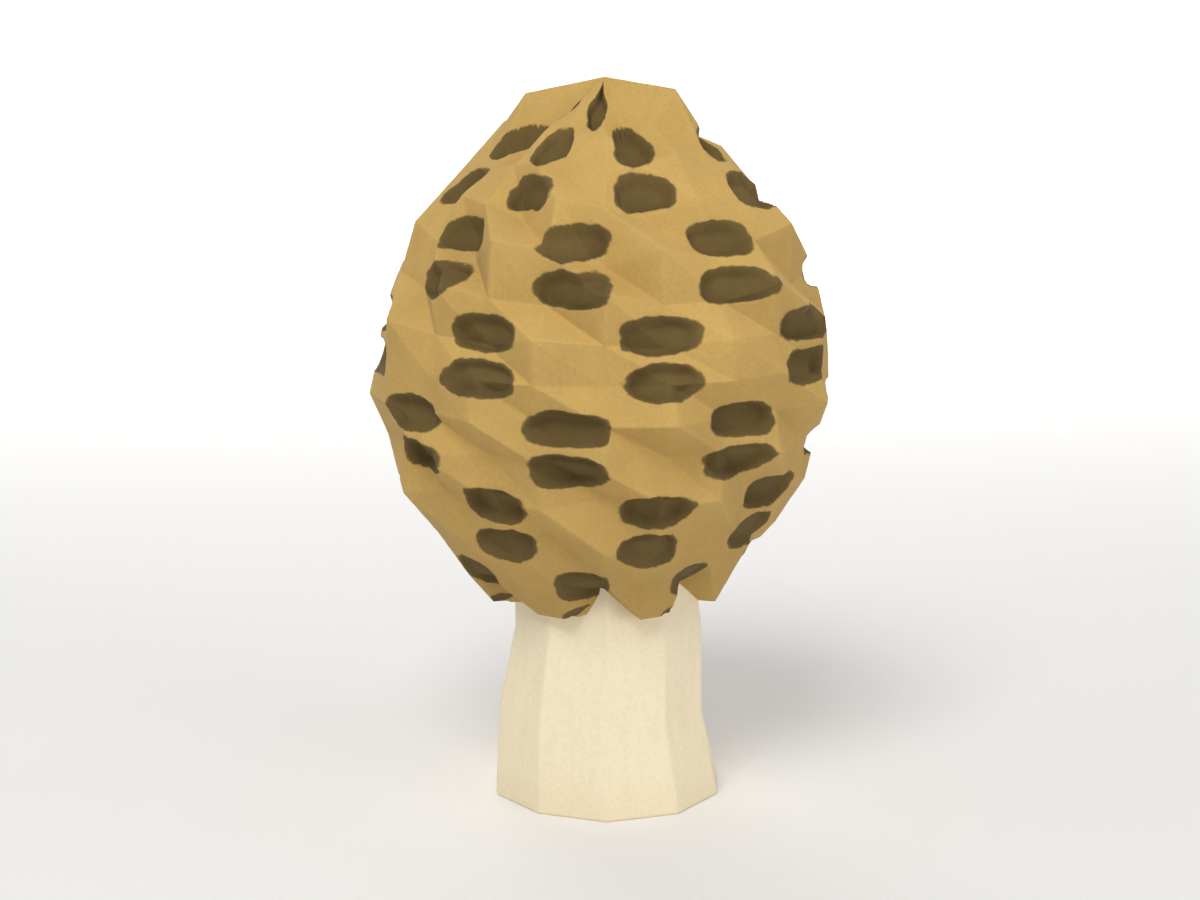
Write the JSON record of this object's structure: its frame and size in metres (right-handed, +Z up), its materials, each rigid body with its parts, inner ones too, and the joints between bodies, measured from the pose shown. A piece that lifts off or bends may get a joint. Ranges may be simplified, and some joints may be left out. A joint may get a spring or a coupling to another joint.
{
  "type": "morel mushroom",
  "caption": "Morel mushroom standing on its cut foot: a ridged, pitted egg-shaped cap whose zigzag hem sits on a flat-sided cream stem.",
  "frame": {"origin": "middle of the cut foot, on the surface it stands on", "axes": "+Z up along the stem to the cap's tip, the front is -Y"},
  "size_m": [0.064, 0.0598, 0.1005],
  "materials": {
    "cap_skin": "matt, finely granular mushroom skin, tan with dark brown pits",
    "stem_skin": "matt, mealy mushroom flesh, cream"
  },
  "bodies": {
    "root": {"cap": "cap_skin", "stem": "stem_skin"}
  },
  "joints": []
}
